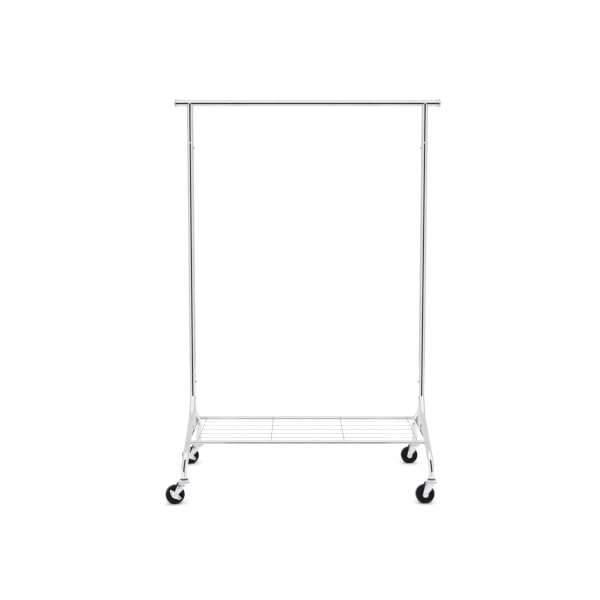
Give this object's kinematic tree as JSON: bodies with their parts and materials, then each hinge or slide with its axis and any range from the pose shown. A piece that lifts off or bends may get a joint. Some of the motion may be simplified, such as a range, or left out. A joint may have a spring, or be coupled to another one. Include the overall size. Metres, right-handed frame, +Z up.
{
  "type": "rolling clothes rack",
  "caption": "Chrome tube clothes rack on casters: a straight hang bar on two tall uprights, swept legs, and a low wire shelf between them.",
  "frame": {"origin": "on the floor, in the middle between the four legs", "axes": "+Z up, +X to the right along the hang bar, -Y towards the front of the rack"},
  "size_m": [1.1035, 0.5765, 1.6015],
  "materials": {
    "chrome_tube": "bright chrome plating on round steel tube",
    "chrome_cap": "bright chrome plating, slightly softer than the tube",
    "chrome_wire": "bright chrome plating on thin steel wire",
    "zinc_plate": "bright zinc plating on pressed and turned steel",
    "spring_steel": "nickel-plated spring steel",
    "rubber_wheel": "black hard rubber, satin",
    "nylon_socket": "black moulded nylon"
  },
  "bodies": {
    "frame": {"hang_bar": "chrome_tube", "bar_stub_left": "chrome_tube", "upright_left": "chrome_tube", "base_post_left": "chrome_tube", "bar_end_cap_left": "chrome_cap", "snap_spring_upper_left": "spring_steel", "snap_spring_lower_left": "spring_steel", "side_bar_left": "chrome_tube", "leg_front_left": "chrome_tube", "leg_rear_left": "chrome_tube", "bar_stub_right": "chrome_tube", "upright_right": "chrome_tube", "base_post_right": "chrome_tube", "bar_end_cap_right": "chrome_cap", "snap_spring_upper_right": "spring_steel", "snap_spring_lower_right": "spring_steel", "side_bar_right": "chrome_tube", "leg_front_right": "chrome_tube", "leg_rear_right": "chrome_tube", "shelf_rail_front": "chrome_tube", "shelf_rail_rear": "chrome_tube", "shelf_cross_wire_1": "chrome_wire", "shelf_cross_wire_2": "chrome_wire", "shelf_cross_wire_3": "chrome_wire", "shelf_cross_wire_4": "chrome_wire", "shelf_long_wire_1": "chrome_wire", "shelf_long_wire_2": "chrome_wire", "shelf_long_wire_3": "chrome_wire", "shelf_long_wire_4": "chrome_wire", "shelf_long_wire_5": "chrome_wire", "caster_front_left_socket": "nylon_socket", "caster_front_left_stem": "zinc_plate", "caster_rear_left_socket": "nylon_socket", "caster_rear_left_stem": "zinc_plate", "caster_front_right_socket": "nylon_socket", "caster_front_right_stem": "zinc_plate", "caster_rear_right_socket": "nylon_socket", "caster_rear_right_stem": "zinc_plate"},
    "button_upper_left": {"snap_button_upper_left": "spring_steel"},
    "button_lower_left": {"snap_button_lower_left": "spring_steel"},
    "button_upper_right": {"snap_button_upper_right": "spring_steel"},
    "button_lower_right": {"snap_button_lower_right": "spring_steel"},
    "swivel_front_left": {"caster_front_left_balls": "zinc_plate", "caster_front_left_fork": "zinc_plate", "caster_front_left_axle": "zinc_plate"},
    "wheel_front_left": {"caster_front_left_wheel": "rubber_wheel"},
    "brake_front_left": {"caster_front_left_brake_lever": "zinc_plate"},
    "swivel_rear_left": {"caster_rear_left_balls": "zinc_plate", "caster_rear_left_fork": "zinc_plate", "caster_rear_left_axle": "zinc_plate"},
    "wheel_rear_left": {"caster_rear_left_wheel": "rubber_wheel"},
    "brake_rear_left": {"caster_rear_left_brake_lever": "zinc_plate"},
    "swivel_front_right": {"caster_front_right_balls": "zinc_plate", "caster_front_right_fork": "zinc_plate", "caster_front_right_axle": "zinc_plate"},
    "wheel_front_right": {"caster_front_right_wheel": "rubber_wheel"},
    "swivel_rear_right": {"caster_rear_right_balls": "zinc_plate", "caster_rear_right_fork": "zinc_plate", "caster_rear_right_axle": "zinc_plate"},
    "wheel_rear_right": {"caster_rear_right_wheel": "rubber_wheel"}
  },
  "joints": [
    {"name": "front_left_swivel", "type": "hinge", "parent": "frame", "child": "swivel_front_left", "pos_m": [-0.488, -0.26, 0.0865], "axis": [0, 0, 1], "continuous": true},
    {"name": "front_left_roll", "type": "hinge", "parent": "swivel_front_left", "child": "wheel_front_left", "pos_m": [-0.52277, -0.26932, 0.03777], "axis": [-0.2588, 0.9659, 0], "continuous": true},
    {"name": "front_left_brake", "type": "hinge", "parent": "swivel_front_left", "child": "brake_front_left", "pos_m": [-0.52277, -0.26932, 0.03777], "axis": [-0.2588, 0.9659, 0], "range_deg": [0, 30]},
    {"name": "rear_left_swivel", "type": "hinge", "parent": "frame", "child": "swivel_rear_left", "pos_m": [-0.488, 0.26, 0.0865], "axis": [0, 0, 1], "continuous": true},
    {"name": "rear_left_roll", "type": "hinge", "parent": "swivel_rear_left", "child": "wheel_rear_left", "pos_m": [-0.52277, 0.25068, 0.03777], "axis": [-0.2588, 0.9659, 0], "continuous": true},
    {"name": "rear_left_brake", "type": "hinge", "parent": "swivel_rear_left", "child": "brake_rear_left", "pos_m": [-0.52277, 0.25068, 0.03777], "axis": [-0.2588, 0.9659, 0], "range_deg": [0, 30]},
    {"name": "front_right_swivel", "type": "hinge", "parent": "frame", "child": "swivel_front_right", "pos_m": [0.488, -0.26, 0.0865], "axis": [0, 0, 1], "continuous": true},
    {"name": "front_right_roll", "type": "hinge", "parent": "swivel_front_right", "child": "wheel_front_right", "pos_m": [0.46303, -0.26131, 0.03777], "axis": [-0.0523, 0.9986, 0], "continuous": true},
    {"name": "rear_right_swivel", "type": "hinge", "parent": "frame", "child": "swivel_rear_right", "pos_m": [0.488, 0.26, 0.0865], "axis": [0, 0, 1], "continuous": true},
    {"name": "rear_right_roll", "type": "hinge", "parent": "swivel_rear_right", "child": "wheel_rear_right", "pos_m": [0.46303, 0.25869, 0.03777], "axis": [-0.0523, 0.9986, 0], "continuous": true},
    {"name": "upper_left_button_press", "type": "slide", "parent": "frame", "child": "button_upper_left", "axis": [-1, 0, 0], "range_m": [0, 0.0047], "stiffness_N_per_m": 1200, "springref_m": -0.003},
    {"name": "lower_left_button_press", "type": "slide", "parent": "frame", "child": "button_lower_left", "axis": [-1, 0, 0], "range_m": [0, 0.0047], "stiffness_N_per_m": 1200, "springref_m": -0.003},
    {"name": "upper_right_button_press", "type": "slide", "parent": "frame", "child": "button_upper_right", "axis": [1, 0, 0], "range_m": [0, 0.0047], "stiffness_N_per_m": 1200, "springref_m": -0.003},
    {"name": "lower_right_button_press", "type": "slide", "parent": "frame", "child": "button_lower_right", "axis": [1, 0, 0], "range_m": [0, 0.0047], "stiffness_N_per_m": 1200, "springref_m": -0.003}
  ]
}
